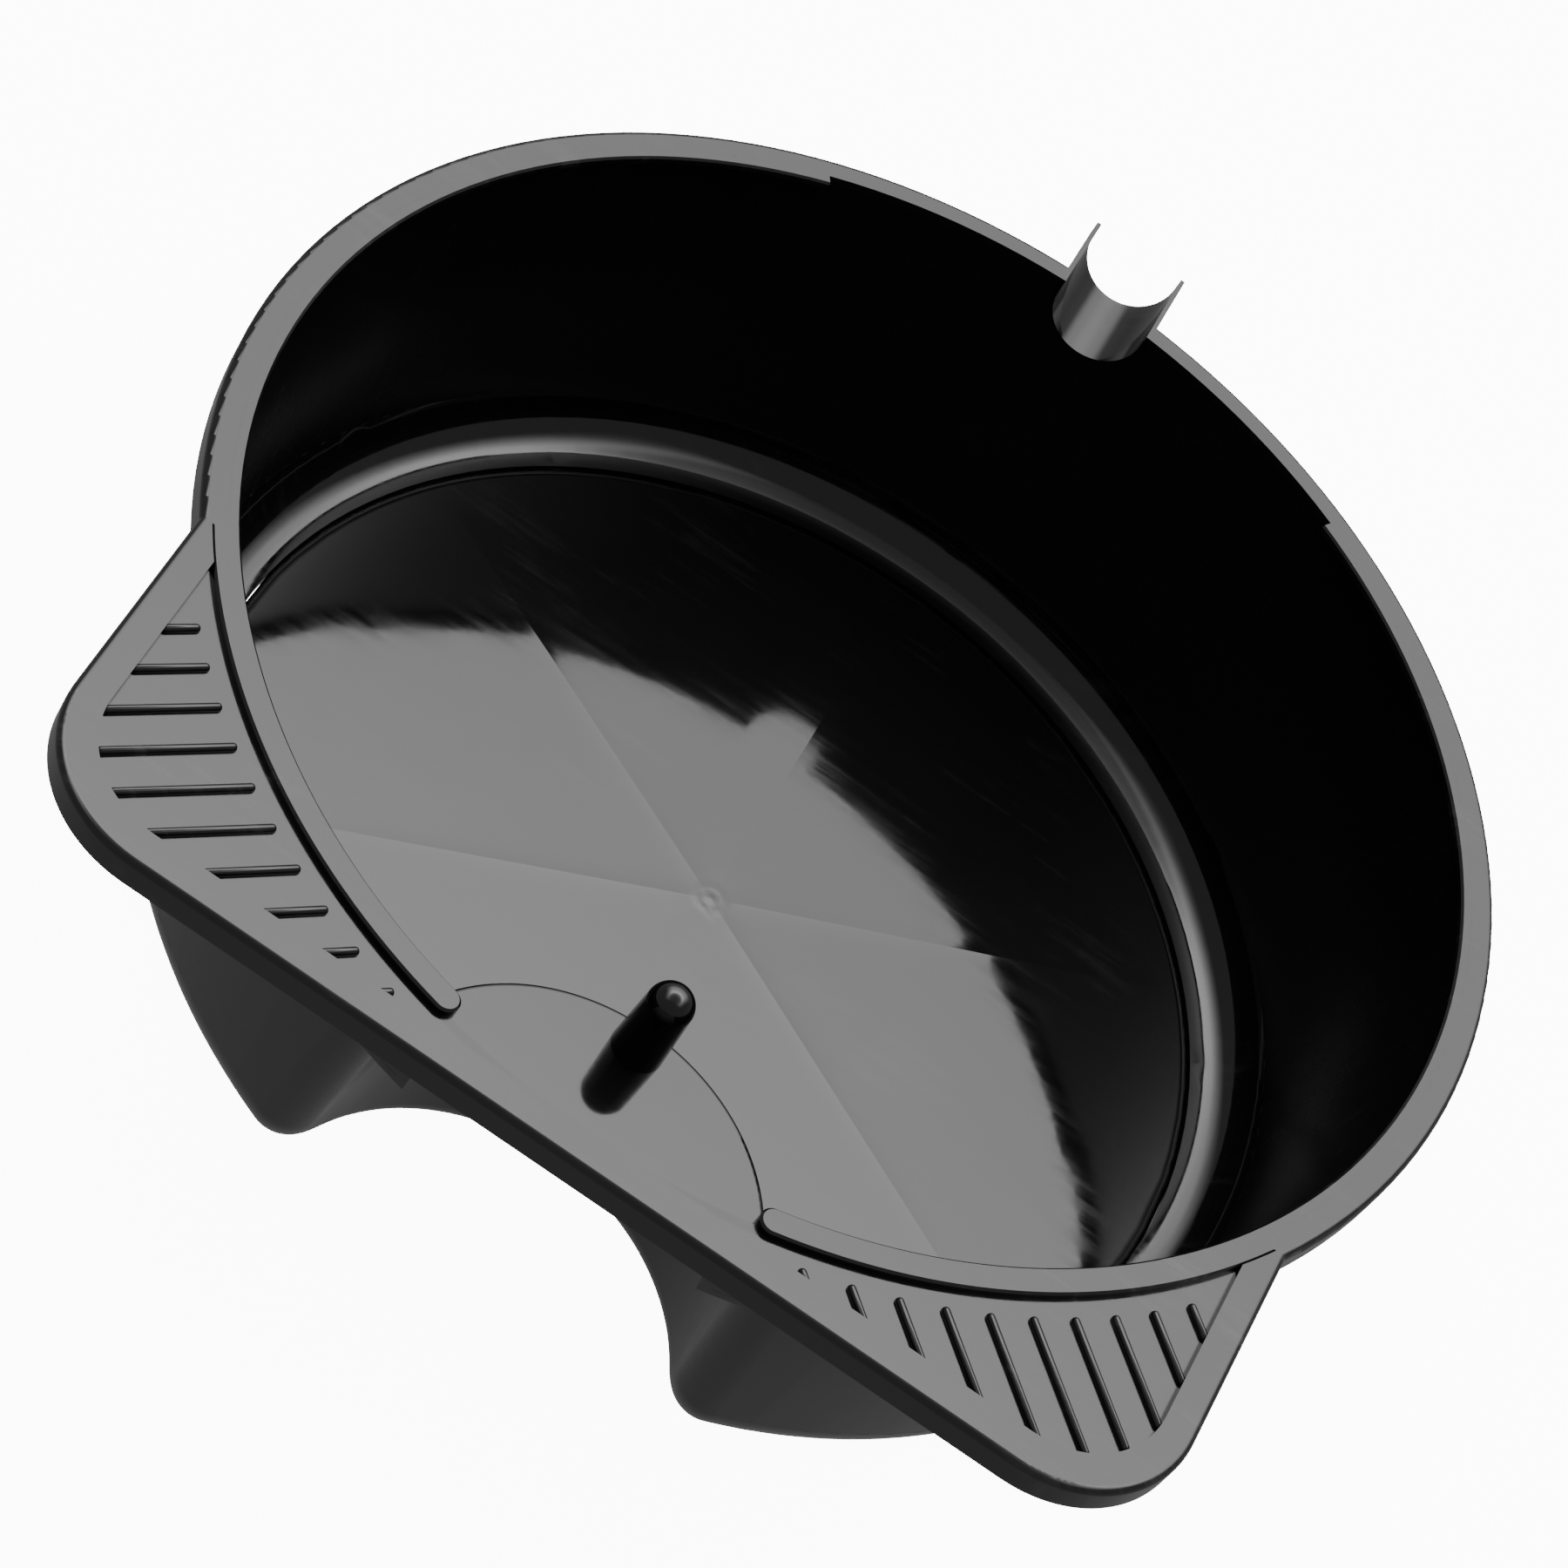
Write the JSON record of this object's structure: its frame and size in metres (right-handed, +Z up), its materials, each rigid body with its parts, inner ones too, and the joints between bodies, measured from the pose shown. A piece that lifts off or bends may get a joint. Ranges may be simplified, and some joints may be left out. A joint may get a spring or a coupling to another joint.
{
  "type": "oil drain pan",
  "caption": "Round open drain pan with a flat rim, a pour spout, ribbed grip wings joined by a bar, and a recessed filter shelf with a peg above a hand hold.",
  "frame": {"origin": "on the tub's axis, on the plane that the pan's base rests on", "axes": "+Z up, +Y towards the pour spout, -Y towards the carrying bar, +X to the right when looking along +Y"},
  "size_m": [0.36, 0.3894, 0.11],
  "materials": {
    "pan_plastic": "injection-moulded black polypropylene, glossy, with a slight waviness"
  },
  "bodies": {
    "root": {"bar_skirt": "pan_plastic", "filter_peg": "pan_plastic", "filter_shelf": "pan_plastic", "front_bar": "pan_plastic", "hand_hold_wall": "pan_plastic", "left_band": "pan_plastic", "left_grip_ribs": "pan_plastic", "left_rim": "pan_plastic", "left_rim_skirt": "pan_plastic", "left_splash_lip": "pan_plastic", "left_spout_side": "pan_plastic", "left_wing_frame": "pan_plastic", "left_wing_panel": "pan_plastic", "left_wing_skirt": "pan_plastic", "pan_floor": "pan_plastic", "pan_heel": "pan_plastic", "pour_spout": "pan_plastic", "right_band": "pan_plastic", "right_grip_ribs": "pan_plastic", "right_rim": "pan_plastic", "right_rim_skirt": "pan_plastic", "right_splash_lip": "pan_plastic", "right_spout_side": "pan_plastic", "right_wing_frame": "pan_plastic", "right_wing_panel": "pan_plastic", "right_wing_skirt": "pan_plastic", "shelf_front_wall": "pan_plastic", "tub_wall": "pan_plastic"}
  },
  "joints": []
}
